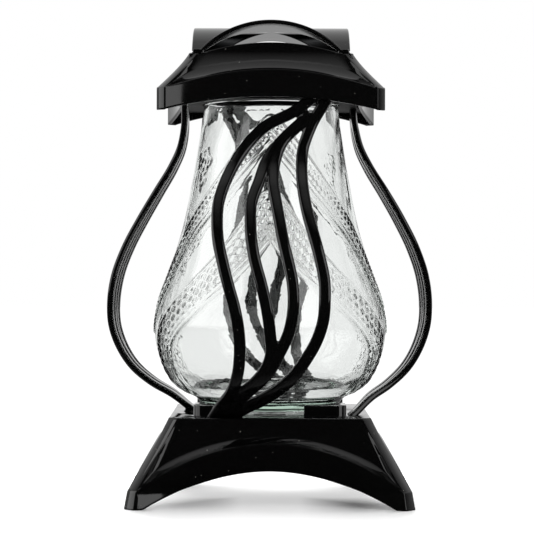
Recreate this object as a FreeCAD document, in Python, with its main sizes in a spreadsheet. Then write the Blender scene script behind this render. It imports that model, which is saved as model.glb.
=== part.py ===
# Grave lantern: a moulded plastic base and pagoda roof around a pear-shaped glass jar, with four
# S-curved grilles between them and a cross-vaulted vent cap on top.
# Millimetres, +Z up, origin in the middle of the floor under the base, front towards -Y.
import FreeCAD
import Part
import Sketcher
import os
from math import asin, cos, pi, radians, sin, sqrt, tan
from types import SimpleNamespace

from FreeCAD import Matrix, Placement, Rotation, Vector

SIZES = {
    # plinth: a coved, four-sided hollow moulding on four feet
    "base_height": 57.3,
    "base_top_half": 66.7,
    "base_crease_height": 11.5,
    "base_crease_half": 92.4,
    "base_floor_half": 94.2,
    "base_middle_half": 78.8,
    "base_corner": 6.0,
    "base_bow": 16.2,
    "base_wall": 2.5,
    "base_panel_lean": 22.0,
    "base_hip_cove": 8.0,
    "base_apron_cove": 6.5,
    "base_band_height": 41.3,
    "base_arch_height": 23.3,
    "base_arch_half": 81.8,
    # corner posts that hold the foot of the jar
    "post_half": 51.0,
    "post_gap_half": 22.6,
    "post_height": 7.2,
    "post_round": 6.0,
    # glass jar
    "jar_height": 211.7,
    "jar_belly": 79.8,
    "jar_foot_radius": 46.5,
    "jar_foot_width": 5.0,
    "jar_punt": 3.2,
    "jar_floor": 11.5,
    "jar_wall": 4.0,
    "jar_lip_radius": 46.5,
    # S-curved grilles
    "grille_thickness": 4.6,
    "grille_reach": 107.6,
    "grille_foot_radius": 56.0,
    "grille_half_width": 38.5,
    "bar_width": 7.6,
    "tab_width": 14.0,
    "tab_thickness": 2.4,
    "tab_offset": 29.0,
    # square frame that lies on the rim of the jar
    "frame_clearance": 1.0,
    "frame_thickness": 3.5,
    "frame_hole_radius": 41.0,
    "frame_seat_depth": 1.0,
    # roof
    "roof_half": 75.0,
    "roof_middle_half": 60.6,
    "roof_corner": 5.2,
    "roof_bow": 12.0,
    "roof_wall": 2.5,
    "roof_skirt_drop": 12.1,
    "roof_fascia_height": 14.1,
    "roof_band_rise": 13.4,
    "roof_fascia_rise": 9.7,
    "roof_slope_height": 32.8,
    "roof_top_half": 51.0,
    "roof_panel_lean": 27.0,
    "roof_hip_cove": 8.0,
    "roof_apron_cove": 9.0,
    "roof_rim_drop": 7.9,
    "roof_rim_half": 47.0,
    "land_half": 43.0,
    "land_thickness": 3.0,
    "ledge_offset": 48.0,
    "ledge_length": 12.0,
    "ledge_height": 3.5,
    "ledge_reach": 5.0,
    # vent cap: two crossing barrels
    "cap_half": 52.8,
    "cap_radius": 66.4,
    "cap_rise": 20.1,
    "cap_wall": 2.7,
    "cap_foot_height": 2.5,
    "cap_edge_round": 0.8,
    "peg_offset": 47.0,
    "peg_diameter": 4.0,
    "peg_length": 6.5,
    # heat shield of sheet metal and its push nuts
    "shield_half": 50.3,
    "shield_thickness": 0.6,
    "shield_ring_radius": 30.0,
    "shield_hole_diameter": 9.0,
    "nut_diameter": 8.5,
    "nut_thickness": 1.0,
    # fits
    "panel_step": 0.3,
    "cove_bite": 0.1,
    "slot_clearance": 0.3,
    "jar_clearance": 0.7,
    "peg_clearance": 0.2,
    "overrun": 2.0,
}
LEVELS = {
    "frame_bottom": "=base_height + jar_height - frame_seat_depth",
    "frame_top": "=frame_bottom + frame_thickness",
    "roof_foot": "=frame_top - roof_skirt_drop",
    "roof_crease": "=roof_foot + roof_fascia_height",
    "roof_band": "=roof_crease + roof_band_rise",
    "roof_top": "=roof_crease + roof_slope_height",
    "land_top": "=roof_top - roof_rim_drop",
    "land_bottom": "=land_top - land_thickness",
    "cap_foot_top": "=land_top + cap_foot_height",
    "cap_crown": "=cap_foot_top + cap_rise",
    "cap_axis": "=cap_crown - cap_radius",
    "cap_foot_half": "=sqrt(cap_radius ^ 2 - (cap_foot_top - cap_axis) ^ 2) - cap_wall",
    "shield_bottom": "=land_bottom - shield_thickness",
    "nut_bottom": "=shield_bottom - nut_thickness",
}
GRILLES = ("front", "right", "back", "left")
QUARTER_TURN = 90
UP = Vector(0, 0, 1)
RIBBON_STEPS = 14
JAR_FLOOR_SHARE = 0.72
SHIELD_HOLES = 12

doc = FreeCAD.newDocument("GraveLantern")
sheet = doc.addObject("Spreadsheet::Sheet", "Sizes")
for row, (alias, value) in enumerate({**SIZES, **LEVELS}.items(), start=1):
    sheet.set(f"A{row}", alias)
    sheet.set(f"B{row}", str(value))
    sheet.setAlias(f"B{row}", alias)
doc.recompute()
s = SimpleNamespace(**{alias: float(sheet.get(alias)) for alias in {**SIZES, **LEVELS}})


def bind(thing, **rules):
    """Tie properties of a document object to cells of the sheet; __ stands for a dot in a name."""
    for name, rule in rules.items():
        thing.setExpression(name.replace("__", "."), rule)
    return thing


def quarter_turn(shape, turn):
    """A copy of a shape turned about the lantern's axis by a number of quarter turns."""
    copy = shape.copy()
    copy.rotate(Vector(), UP, QUARTER_TURN * turn)
    return copy


def all_round(shape):
    return [quarter_turn(shape, turn) for turn in range(len(GRILLES))]


def arc_radius(half_span, rise):
    return (half_span ** 2 + rise ** 2) / (2 * rise)


def barrel(half_span, rise, crown, reach):
    """A round bar along Y whose top is at crown and falls by rise at half_span to either side."""
    radius = arc_radius(half_span, rise)
    return Part.makeCylinder(radius, 2 * reach, Vector(0, -reach, crown - radius), Vector(0, 1, 0))


# Both the plinth and the roof are coved forms. Seen from above, their sides bow inwards between cut
# corners. An upright band with an arched top follows that outline, and above it each side is
# pressed in to a leaning panel, which runs out to the corner edges and to the band in coves.
def four_sided(side_edges):
    """Join the edges of one side, and of its copies turned to the other three, into a wire."""
    edges = []
    for turn in range(len(GRILLES)):
        edges += [quarter_turn(edge, turn) for edge in side_edges]
    return Part.Wire(edges)


def cut_square(half, corner, height):
    """A square with cut corners."""
    flat = half - corner
    return four_sided([Part.makeLine(Vector(-flat, -half, height), Vector(flat, -half, height)),
                       Part.makeLine(Vector(flat, -half, height), Vector(half, -flat, height))])


def bowed_square(half, corner, bow, height):
    """A square with cut corners, whose sides are arcs bowed inwards."""
    flat = half - corner
    side = Part.Arc(Vector(-flat, -half, height), Vector(0, bow - half, height), Vector(flat, -half, height))
    return four_sided([side.toShape(), Part.makeLine(Vector(flat, -half, height), Vector(half, -flat, height))])


def coved_square(half, corner, depth, run, height):
    """A square with cut corners, whose sides are pressed in by depth over quarter ellipses run wide."""
    flat, bed = half - corner, depth - half
    coves = []
    for side in (-1, 1):
        cove = Part.BezierCurve()
        poles = [Vector(side * flat, -half, height), Vector(side * flat, bed, height),
                 Vector(side * (flat - run), bed, height)]
        cove.setPoles(poles[::-side])
        cove.setWeight(2, cos(pi / 4))
        coves.append(cove.toShape())
    panel = Part.makeLine(Vector(run - flat, bed, height), Vector(flat - run, bed, height))
    cut_corner = Part.makeLine(Vector(flat, -half, height), Vector(half, -flat, height))
    return four_sided([coves[0], panel, coves[1], cut_corner])


def coved_form(form, inset):
    """The solid of a coved form, drawn in by inset where it is the hollow inside one."""
    corner = form.corner - inset * (2 - sqrt(2))
    slope = tan(radians(form.panel_lean))
    levels = [form.crease_height, (form.crease_height + form.top_height) / 2, form.top_height]
    halves = [half - inset for half in (form.crease_half, form.middle_half, form.top_half)]

    def panel_half(level):
        return halves[-1] - s.panel_step + (form.top_height - level) * slope

    outlines = [coved_square(half, corner, half - panel_half(level), form.hip_cove, level)
                for half, level in zip(halves, levels)]
    lower, upper = [Part.makeLoft(list(pair), True, True) for pair in zip(outlines, outlines[1:])]
    skirt = Part.makeLoft([cut_square(form.foot_half - inset, corner, form.foot_height),
                           cut_square(halves[0], corner, form.crease_height)], True, True)

    # One side's apron: a disc as wide as the band's arch with a cove on its rim, leant with the panel.
    cove = form.apron_cove + inset
    bed = panel_half(form.band_height) - s.cove_bite
    shelf = halves[0] - form.bow - bed
    sunk = cove - sqrt(cove ** 2 - max(cove - shelf, 0) ** 2)
    rise = form.band_height - form.crease_height - sunk
    radius = arc_radius(form.crease_half - form.corner, rise) - inset
    rim = form.crease_height + rise - inset
    axis = rim - radius
    out = halves[0] + s.overrun + (form.top_height - form.crease_height) * slope
    back = s.overrun - bed
    quarter = Part.Arc(
        Vector(0, -bed - cove, rim),
        Vector(0, -bed - cove + cove * sin(pi / 4), rim + cove - cove * cos(pi / 4)),
        Vector(0, -bed, rim + cove)).toShape()
    path = [Vector(0, -bed, rim + cove), Vector(0, back, rim + cove), Vector(0, back, axis),
            Vector(0, -out, axis), Vector(0, -out, rim), Vector(0, -bed - cove, rim)]
    lines = [Part.makeLine(a, b) for a, b in zip(path, path[1:])]
    disc = Part.Face(Part.Wire([quarter] + lines)).revolve(Vector(0, 0, axis), Vector(0, 1, 0), 360)
    lean = Matrix()
    lean.A23, lean.A24 = slope, -slope * form.band_height
    disc = disc.transformGeometry(lean)
    hips = [(half - corner, level) for half, level in zip(halves, levels)]
    corners = [Vector(x, -halves[0], z) for x, z in hips] + [Vector(-x, -halves[0], z) for x, z in hips[::-1]]
    wedge = Part.Face(Part.makePolygon(corners + corners[:1])).extrude(Vector(0, halves[0], 0))
    whole = lower.fuse(upper).multiFuse(all_round(disc.common(wedge)) + [skirt])

    # Each side's bow is cut by a round bar that stands outside it, and by a cone where the foot flares.
    bow_radius = arc_radius(halves[0] - corner, form.bow)
    stand = Vector(0, form.bow - halves[0] - bow_radius, form.crease_height)
    flare = form.foot_half - form.crease_half
    if flare:
        cutters = [Part.makeCylinder(bow_radius, form.top_height - form.crease_height + s.overrun, stand),
                   Part.makeCone(bow_radius - flare, bow_radius, form.crease_height - form.foot_height,
                                 Vector(stand.x, stand.y, form.foot_height))]
    else:
        stand.z = form.foot_height - s.overrun
        cutters = [Part.makeCylinder(bow_radius, form.top_height - stand.z + s.overrun, stand)]
    for cutter in cutters:
        for turned in all_round(cutter):
            whole = whole.cut(turned)
    return whole


def block(x_span, y_span, z_span):
    """A box between the ends of three spans."""
    low, high = (Vector(*ends) for ends in zip(x_span, y_span, z_span))
    size = high - low
    return Part.makeBox(size.x, size.y, size.z, low)


def add_feature(name, shape):
    feature = doc.addObject("Part::Feature", name)
    feature.Shape = shape
    return feature


# The jar's outer wall, which the posts of the plinth keep clear of
JAR_SHARES = (  # height above the foot as a share of the jar's, radius as a share of the belly's
    (0.020, 0.583), (0.040, 0.624), (0.066, 0.729), (0.097, 0.843), (0.143, 0.924), (0.188, 0.971),
    (0.247, 1.000), (0.330, 0.982), (0.446, 0.888), (0.580, 0.776), (0.746, 0.683), (0.980, 0.583))
jar_top = s.base_height + s.jar_height


def jar_radius(height):
    """About how wide the jar is at a height above its foot."""
    share = height / s.jar_height
    for (low, near), (high, far) in zip(JAR_SHARES, JAR_SHARES[1:]):
        if share <= high:
            return s.jar_belly * (near + (far - near) * max(share - low, 0) / (high - low))
    return s.jar_belly * JAR_SHARES[-1][1]


# Plinth
base_form = SimpleNamespace(
    foot_height=0, foot_half=s.base_floor_half, crease_height=s.base_crease_height,
    crease_half=s.base_crease_half, middle_half=s.base_middle_half, top_height=s.base_height,
    top_half=s.base_top_half, corner=s.base_corner, bow=s.base_bow, panel_lean=s.base_panel_lean,
    hip_cove=s.base_hip_cove, apron_cove=s.base_apron_cove, band_height=s.base_band_height)


def corner_posts(inset):
    """Four low posts between a square and the round foot of the jar, with gaps at the axes."""
    half, foot, top = s.post_half - inset, s.base_height - inset, s.base_height + s.post_height - inset
    square = block((-half, half), (-half, half), (foot - s.overrun, top))
    upright = [edge for edge in square.Edges if edge.BoundBox.ZLength > s.post_height]
    posts = square.makeFillet(s.post_round - inset, upright)
    ring = jar_radius(s.post_height) + s.jar_clearance + inset
    posts = posts.cut(Part.makeCylinder(ring, top - foot + 2 * s.overrun, Vector(0, 0, foot - s.overrun)))
    gap = s.post_gap_half + inset
    for x, y in ((gap, half + s.overrun), (half + s.overrun, gap)):
        posts = posts.cut(block((-x, x), (-y, y), (foot - s.overrun, top + s.overrun)))
    return posts


def grille_slot(width, thickness, radius, low, high, side):
    """The box of a grille's tab, or of its slot: side is -1 at the foot and 1 at the top."""
    middle = side * s.tab_offset
    return block((middle - width / 2, middle + width / 2), (-radius - thickness / 2, -radius + thickness / 2),
                 (low, high))


def make_base():
    shell = coved_form(base_form, 0)
    far = s.base_floor_half + s.overrun
    ceiling = block((-far, far), (-far, far), (-s.overrun, s.base_height - s.base_wall))
    hollow = coved_form(base_form, s.base_wall).common(ceiling)
    shell = shell.cut(hollow)
    arch = barrel(s.base_arch_half, s.base_arch_height, s.base_arch_height, far)
    shell = shell.cut([arch, quarter_turn(arch, 1)])
    shell = shell.fuse(corner_posts(0)).cut(corner_posts(s.base_wall))
    slot = grille_slot(s.tab_width + 2 * s.slot_clearance, s.tab_thickness + 2 * s.slot_clearance,
                       s.grille_foot_radius, s.base_height - s.base_wall - s.overrun,
                       s.base_height + s.overrun, -1)
    return shell.cut(all_round(slot)).removeSplitter()


add_feature("base", make_base())

# Glass jar: pressed glass, drawn in from a wide belly to a tall neck, with a thick floor
def jar_outline():
    points = [Vector(radius * s.jar_belly, s.base_height + height * s.jar_height, 0)
              for height, radius in JAR_SHARES]
    curve = Part.BSplineCurve()
    curve.interpolate(points)
    return curve


def jar_inside(outer):
    """The inner wall: the outer one moved in by the wall's thickness, down to the floor."""
    floor = s.base_height + s.jar_floor
    points = []
    first, last = outer.FirstParameter, outer.LastParameter
    for step in range(RIBBON_STEPS + 1):
        place = first + (last - first) * step / RIBBON_STEPS
        inward = outer.tangent(place)[0].cross(Vector(0, 0, -1))
        point = outer.value(place) + inward * s.jar_wall
        if point.y > floor + s.jar_wall:
            points.append(point)
    points[-1].y = outer.value(last).y
    curve = Part.BSplineCurve()
    curve.interpolate([Vector(points[0].x * JAR_FLOOR_SHARE, floor, 0)] + points)
    return curve


jar = doc.addObject("PartDesign::Body", "glass_jar")
upright_plane = [f for f in jar.Origin.OriginFeatures if f.Role == "XZ_Plane"][0]
outline = jar.newObject("Sketcher::SketchObject", "jar_profile")
outline.AttachmentSupport = [(upright_plane, "")]
outline.MapMode = "FlatFace"
outer_wall = jar_outline()
inner_wall = jar_inside(outer_wall)
foot_outer = outer_wall.value(outer_wall.FirstParameter)
lip_outer = outer_wall.value(outer_wall.LastParameter)
floor_corner = inner_wall.value(inner_wall.FirstParameter)
lip_inner = inner_wall.value(inner_wall.LastParameter)
foot_inner = s.jar_foot_radius - s.jar_foot_width
punt = s.base_height + s.jar_punt
jar_path = [
    foot_outer, Vector(s.jar_foot_radius, s.base_height, 0), Vector(foot_inner, s.base_height, 0),
    Vector(foot_inner, punt, 0), Vector(0, punt, 0), Vector(0, floor_corner.y, 0), floor_corner]
for a, b in zip(jar_path, jar_path[1:]):
    outline.addGeometry(Part.LineSegment(a, b), False)
outline.addGeometry(inner_wall, False)
lip_middle = Vector((lip_outer.x + lip_inner.x) / 2, jar_top, 0)
outline.addGeometry(Part.Arc(lip_inner, lip_middle, lip_outer), False)
outline.addGeometry(outer_wall, False)
turned = jar.newObject("PartDesign::Revolution", "jar_turned")
turned.Profile = outline
turned.ReferenceAxis = (outline, ["V_Axis"])
turned.Angle = 360

# S-curved grilles: four bars side by side, joined at both ends, cut from one bulged sheet
BULGE_SHARES = (  # height as a share of the grille's, bulge beyond the foot as a share of the reach
    (-0.020, -0.100), (0.000, 0.000), (0.052, 0.234), (0.092, 0.483), (0.150, 0.738), (0.221, 0.907),
    (0.286, 0.986), (0.351, 1.000), (0.442, 0.950), (0.533, 0.820), (0.623, 0.634), (0.714, 0.420),
    (0.798, 0.215), (0.857, 0.105), (0.921, 0.050), (1.000, 0.035))
BAR_SHARES = (  # each bar from the foot up: height share, sideways place as a share of the half-width
    ((-0.03, -1.07), (0.03, -0.86), (0.081, -0.66), (0.140, -0.548), (0.203, -0.506), (0.273, -0.517),
     (0.344, -0.584), (0.419, -0.699), (0.494, -0.803), (0.550, -0.870), (0.607, -0.894), (0.663, -0.88),
     (0.735, -0.766), (0.805, -0.579), (0.863, -0.364), (0.912, -0.096), (0.960, 0.40), (1.02, 0.83)),
    ((-0.03, -0.93), (0.034, -0.74), (0.081, -0.46), (0.117, -0.25), (0.155, -0.09), (0.203, 0.01),
     (0.273, -0.003), (0.344, -0.055), (0.419, -0.148), (0.494, -0.260), (0.550, -0.314), (0.607, -0.335),
     (0.663, -0.327), (0.735, -0.197), (0.805, -0.06), (0.863, 0.17), (0.910, 0.43), (0.95, 0.68)),
    ((-0.03, -0.89), (0.034, -0.70), (0.081, -0.42), (0.117, -0.20), (0.155, -0.01), (0.203, 0.13),
     (0.273, 0.306), (0.344, 0.379), (0.419, 0.371), (0.494, 0.288), (0.550, 0.213), (0.607, 0.156),
     (0.663, 0.101), (0.735, 0.044), (0.805, 0.08), (0.863, 0.20), (0.910, 0.44), (0.95, 0.70)),
    ((-0.03, -0.75), (0.012, -0.58), (0.034, -0.400), (0.057, -0.151), (0.092, 0.127), (0.135, 0.377),
     (0.192, 0.597), (0.253, 0.777), (0.314, 0.878), (0.369, 0.901), (0.429, 0.896), (0.494, 0.829),
     (0.569, 0.722), (0.636, 0.623), (0.739, 0.535), (0.789, 0.527), (0.835, 0.548), (0.908, 0.678),
     (1.02, 1.03)))
grille_height = s.frame_bottom - s.base_height
grille_top_radius = s.grille_foot_radius + (s.grille_reach - s.grille_foot_radius) * BULGE_SHARES[-1][1]


def ribbon(points, width, normal):
    """A flat face of even width along a smooth line through the points."""
    spine = Part.BSplineCurve()
    spine.interpolate(points)
    first, last = spine.FirstParameter, spine.LastParameter
    sides = []
    for side in (-1, 1):
        edge = []
        for step in range(2 * RIBBON_STEPS + 1):
            place = first + (last - first) * step / (2 * RIBBON_STEPS)
            across = spine.tangent(place)[0].cross(normal)
            edge.append(spine.value(place) + across * (side * width / 2))
        curve = Part.BSplineCurve()
        curve.interpolate(edge)
        sides.append(curve.toShape())
    near, far = (Part.makeLine(sides[0].valueAt(end(sides[0])), sides[1].valueAt(end(sides[1])))
                 for end in (lambda e: e.FirstParameter, lambda e: e.LastParameter))
    return Part.Face(Part.Wire(Part.__sortEdges__([sides[0], far, sides[1], near])))


def make_grille():
    bulge = s.grille_reach - s.grille_foot_radius
    line = [Vector(0, -s.grille_foot_radius - out * bulge, s.base_height + up * grille_height)
            for up, out in BULGE_SHARES]
    wide = 2 * s.grille_half_width
    sheet_of = ribbon(line, s.grille_thickness, Vector(1, 0, 0))
    sheet_of.translate(Vector(-wide, 0, 0))
    sheet_of = sheet_of.extrude(Vector(2 * wide, 0, 0))
    bars = []
    for shares in BAR_SHARES:
        line = [Vector(across * s.grille_half_width, 0, s.base_height + up * grille_height)
                for up, across in shares]
        bars.append(ribbon(line, s.bar_width, Vector(0, 1, 0)).extrude(
            Vector(0, -s.grille_reach - s.overrun * 2, 0)))
    outline = bars[0].multiFuse(bars[1:])
    grille = sheet_of.common(outline)
    top = s.base_height + grille_height
    grille = grille.common(block((-wide, wide), (-2 * s.grille_reach, 0), (s.base_height, top)))
    foot_tab = grille_slot(s.tab_width, s.tab_thickness, s.grille_foot_radius,
                           s.base_height - s.base_wall, s.base_height, -1)
    top_tab = grille_slot(s.tab_width, s.tab_thickness, grille_top_radius, top, s.frame_top, 1)
    return grille.multiFuse([foot_tab, top_tab]).removeSplitter()


grille_solid = make_grille()
for turn, side in enumerate(GRILLES):
    grille = add_feature(f"grille_{side}", grille_solid)
    grille.Placement = Placement(Vector(), Rotation(UP, QUARTER_TURN * turn))

# Square frame on the rim of the jar: it centres the jar and takes the tops of the grilles.
def make_frame():
    gap = s.roof_wall + s.frame_clearance
    outline = bowed_square(s.roof_half - gap, s.roof_corner, s.roof_bow, s.frame_bottom)
    plate = Part.Face(outline).extrude(UP * s.frame_thickness)
    centre = Vector(0, 0, s.frame_bottom)
    hole = Part.makeCylinder(s.frame_hole_radius, s.frame_thickness, centre)
    seat = Part.makeCylinder(s.jar_lip_radius + s.jar_clearance, s.frame_seat_depth, centre)
    slot = grille_slot(s.tab_width + 2 * s.slot_clearance, s.tab_thickness + 2 * s.slot_clearance,
                       grille_top_radius, s.frame_bottom, s.frame_top, 1)
    return plate.cut([hole, seat] + all_round(slot)).removeSplitter()


add_feature("top_frame", make_frame())

# Roof: a coved shell over an arched fascia, open at the top under the vent cap
roof_form = SimpleNamespace(
    foot_height=s.roof_foot, foot_half=s.roof_half, crease_height=s.roof_crease,
    crease_half=s.roof_half, middle_half=s.roof_middle_half, top_height=s.roof_top,
    top_half=s.roof_top_half, corner=s.roof_corner, bow=s.roof_bow, panel_lean=s.roof_panel_lean,
    hip_cove=s.roof_hip_cove, apron_cove=s.roof_apron_cove, band_height=s.roof_band)


def peg_at(diameter, low, high):
    return Part.makeCylinder(diameter / 2, high - low, Vector(s.peg_offset, s.peg_offset, low))


def make_roof():
    filled = coved_form(roof_form, 0)
    shell = filled.cut(coved_form(roof_form, s.roof_wall))
    land = block((s.land_half, s.roof_half), (s.land_half, s.roof_half), (s.land_bottom, s.land_top))
    shell = shell.multiFuse(all_round(land.common(filled)))
    reach = s.roof_half + s.overrun
    rim = barrel(s.roof_rim_half, s.roof_rim_drop, s.roof_top, reach)
    shell = shell.common(rim.multiFuse([
        quarter_turn(rim, 1), block((-reach, reach), (-reach, reach), (s.roof_foot, s.land_top))]))
    fascia = barrel(s.roof_half - s.roof_corner, s.roof_fascia_rise, s.roof_foot + s.roof_fascia_rise, reach)
    hole = peg_at(s.peg_diameter + 2 * s.peg_clearance, s.land_bottom - s.overrun, s.land_top + s.overrun)
    shell = shell.cut([fascia, quarter_turn(fascia, 1)] + all_round(hole))
    bow_radius = arc_radius(s.roof_half - s.roof_corner, s.roof_bow)
    inner = s.roof_half - s.roof_wall - s.roof_bow + bow_radius - sqrt(bow_radius ** 2 - s.ledge_offset ** 2)
    ledges = [block((side - s.ledge_length / 2, side + s.ledge_length / 2),
                    (-inner - s.roof_wall / 2, s.ledge_reach - inner),
                    (s.frame_top, s.frame_top + s.ledge_height))
              for side in (-s.ledge_offset, s.ledge_offset)]
    for ledge in ledges:
        shell = shell.multiFuse(all_round(ledge))
    return shell.removeSplitter()


add_feature("roof", make_roof())

# Vent cap: two barrels crossed over the hole in the roof, on four feet with pegs
def add_barrel(name, radius_rule, reach_rule, turn):
    """A round bar through the cap, along Y, or along X after a quarter turn."""
    bar = doc.addObject("Part::Cylinder", name)
    along_y = Rotation(Vector(1, 0, 0), -QUARTER_TURN)
    bar.Placement = Placement(Vector(), Rotation(UP, QUARTER_TURN * turn) * along_y)
    bar.setExpression("Placement.Base.x" if turn else "Placement.Base.y",
                      reach_rule if turn else f"-({reach_rule})")
    return bind(bar, Radius=radius_rule, Height=f"2 * ({reach_rule})", Placement__Base__z="Sizes.cap_axis")


def add_box(name, x_rule, y_rule, z_rule, length_rule, width_rule, height_rule):
    box = doc.addObject("Part::Box", name)
    return bind(box, Placement__Base__x=x_rule, Placement__Base__y=y_rule, Placement__Base__z=z_rule,
                Length=length_rule, Width=width_rule, Height=height_rule)


def add_together(kind, name, shapes):
    together = doc.addObject(kind, name)
    together.Shapes = shapes
    return together


def add_cut(name, base, tool):
    cut = doc.addObject("Part::Cut", name)
    cut.Base, cut.Tool = base, tool
    return cut


def add_upright(name, signs, radius_rule, bottom_rule, height_rule):
    """A round bar standing at one corner's peg."""
    bar = doc.addObject("Part::Cylinder", name)
    return bind(bar, Radius=radius_rule, Height=height_rule, Placement__Base__z=bottom_rule,
                Placement__Base__x=f"{signs[0]} * Sizes.peg_offset",
                Placement__Base__y=f"{signs[1]} * Sizes.peg_offset")


CORNERS = ((1, 1), (-1, 1), (-1, -1), (1, -1))
outer_barrels = [add_barrel(f"cap_outer_{turn}", "Sizes.cap_radius", "Sizes.cap_half", turn)
                 for turn in range(2)]
inner_barrels = [add_barrel(f"cap_inner_{turn}", "Sizes.cap_radius - Sizes.cap_wall",
                            "Sizes.cap_half + Sizes.overrun", turn) for turn in range(2)]
vault = add_cut("cap_shell", add_together("Part::MultiFuse", "cap_outside", outer_barrels),
                add_together("Part::MultiFuse", "cap_inside", inner_barrels))
keep = add_box("cap_room", "-Sizes.cap_half", "-Sizes.cap_half", "Sizes.cap_foot_top",
               "2 * Sizes.cap_half", "2 * Sizes.cap_half", "Sizes.cap_rise + Sizes.overrun")
vault = add_together("Part::MultiCommon", "cap_vault", [vault, keep])
doc.recompute()


def rim_edges(shape):
    """The curved edges of the four arched rims, numbered from one."""
    found = []
    for number, edge in enumerate(shape.Edges, start=1):
        ends = edge.BoundBox
        flat = min(ends.XLength, ends.YLength) < s.cap_edge_round / 2
        outside = max(abs(ends.Center.x), abs(ends.Center.y)) > s.cap_half - s.cap_edge_round
        if flat and outside and ends.ZLength > s.cap_rise / 2:
            found.append(number)
    return found


rounded = doc.addObject("Part::Fillet", "cap_rims")
rounded.Base = vault
rounded.Edges = [(number, s.cap_edge_round, s.cap_edge_round) for number in rim_edges(vault.Shape)]
foot_size = "Sizes.cap_half - Sizes.cap_edge_round - Sizes.cap_foot_half"
cap_pieces = [rounded]
for number, (x, y) in enumerate(CORNERS):
    near = ["Sizes.cap_foot_half" if sign > 0 else "Sizes.cap_edge_round - Sizes.cap_half" for sign in (x, y)]
    cap_pieces.append(add_box(f"cap_foot_{number}", *near, "Sizes.land_top", foot_size, foot_size,
                              "Sizes.cap_foot_height"))
    cap_pieces.append(add_upright(f"cap_peg_{number}", (x, y), "Sizes.peg_diameter / 2",
                                  "Sizes.land_top - Sizes.peg_length", "Sizes.peg_length"))
add_together("Part::MultiFuse", "vent_cap", cap_pieces).Refine = True

# Heat shield: a sheet of aluminium under the hole in the roof, pierced to let the warm air out.
# It is drawn as constrained sketches, each tied to the sheet.
def plane_of(body, role):
    return [feature for feature in body.Origin.OriginFeatures if feature.Role == role][0]


def add_sketch(body, name, height):
    """An empty sketch of a body, level, at a height that is a rule on the sheet."""
    sketch = body.newObject("Sketcher::SketchObject", name)
    sketch.AttachmentSupport = [(plane_of(body, "XY_Plane"), "")]
    sketch.MapMode = "FlatFace"
    sketch.setExpression("AttachmentOffset.Base.z", height)
    return sketch


def tie(sketch, constraint, rule):
    """Add a measured constraint to a sketch and tie it to the sheet."""
    sketch.setExpression(f"Constraints[{sketch.addConstraint(constraint)}]", rule)


def draw_loop(sketch, corners):
    """Draw a closed run of lines, joined end to end, and return the number of the first one."""
    points = [Vector(x, y, 0) for x, y in corners]
    first = sketch.GeometryCount
    for a, b in zip(points, points[1:] + points[:1]):
        sketch.addGeometry(Part.LineSegment(a, b), False)
    for index in range(len(points)):
        after = first + (index + 1) % len(points)
        sketch.addConstraint(Sketcher.Constraint("Coincident", first + index, 2, after, 1))
    return first


def draw_cut_square(sketch, half, corner, half_rule, corner_rule):
    """A square about the axis with cut corners; its lines run bottom, corner, right, corner and so on."""
    flat = half - corner
    line = draw_loop(sketch, [(-flat, -half), (flat, -half), (half, -flat), (half, flat),
                              (flat, half), (-flat, half), (-half, flat), (-half, -flat)])
    for side, axis in ((0, -2), (2, -1), (4, -2), (6, -1)):
        sketch.addConstraint(Sketcher.Constraint("Symmetric", line + side, 1, line + side, 2, axis))
    for side, kind in ((0, "DistanceY"), (2, "DistanceX"), (4, "DistanceY"), (6, "DistanceX")):
        start, end = ((line + side, 1), (-1, 1)) if side in (0, 6) else ((-1, 1), (line + side, 1))
        tie(sketch, Sketcher.Constraint(kind, *start, *end, half), half_rule)
    for side, kind in ((0, "DistanceX"), (2, "DistanceY")):
        tie(sketch, Sketcher.Constraint(kind, line + side, 1, line + side, 2, 2 * flat),
            f"2 * ({half_rule} - {corner_rule})")
    for side, kind in ((4, "DistanceX"), (6, "DistanceY")):
        tie(sketch, Sketcher.Constraint(kind, line + side, 2, line + side, 1, 2 * flat),
            f"2 * ({half_rule} - {corner_rule})")


def draw_circle(sketch, middle, radius, middle_rule, radius_rule):
    circle = sketch.addGeometry(Part.Circle(Vector(*middle, 0), UP, radius), False)
    tie(sketch, Sketcher.Constraint("Radius", circle, radius), radius_rule)
    if middle_rule is None:
        sketch.addConstraint(Sketcher.Constraint("Coincident", circle, 3, -1, 1))
        return
    tie(sketch, Sketcher.Constraint("DistanceX", -1, 1, circle, 3, middle[0]), middle_rule[0])
    tie(sketch, Sketcher.Constraint("DistanceY", -1, 1, circle, 3, middle[1]), middle_rule[1])


def add_pad(body, sketch, name, length_rule):
    pad = body.newObject("PartDesign::Pad", name)
    pad.Profile = sketch
    pad.setExpression("Length", length_rule)
    doc.recompute()
    return pad


def add_pocket(body, sketch, name, length_rule):
    """Cut a sketch upwards through a body and make sure that it took something away."""
    before = body.Shape.Volume
    pocket = body.newObject("PartDesign::Pocket", name)
    pocket.Profile = sketch
    pocket.Reversed = True
    pocket.setExpression("Length", length_rule)
    doc.recompute()
    if body.Shape.Volume >= before:
        raise ValueError(f"{name} cuts nothing")
    return pocket


def add_ring(body, feature, name, count):
    """Repeat a feature evenly about the upright axis."""
    ring = body.newObject("PartDesign::PolarPattern", name)
    ring.Originals = [feature]
    ring.Axis = (feature.Profile[0], ["N_Axis"])
    ring.Angle = 360
    ring.Occurrences = count
    body.Tip = ring
    doc.recompute()
    return ring


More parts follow.
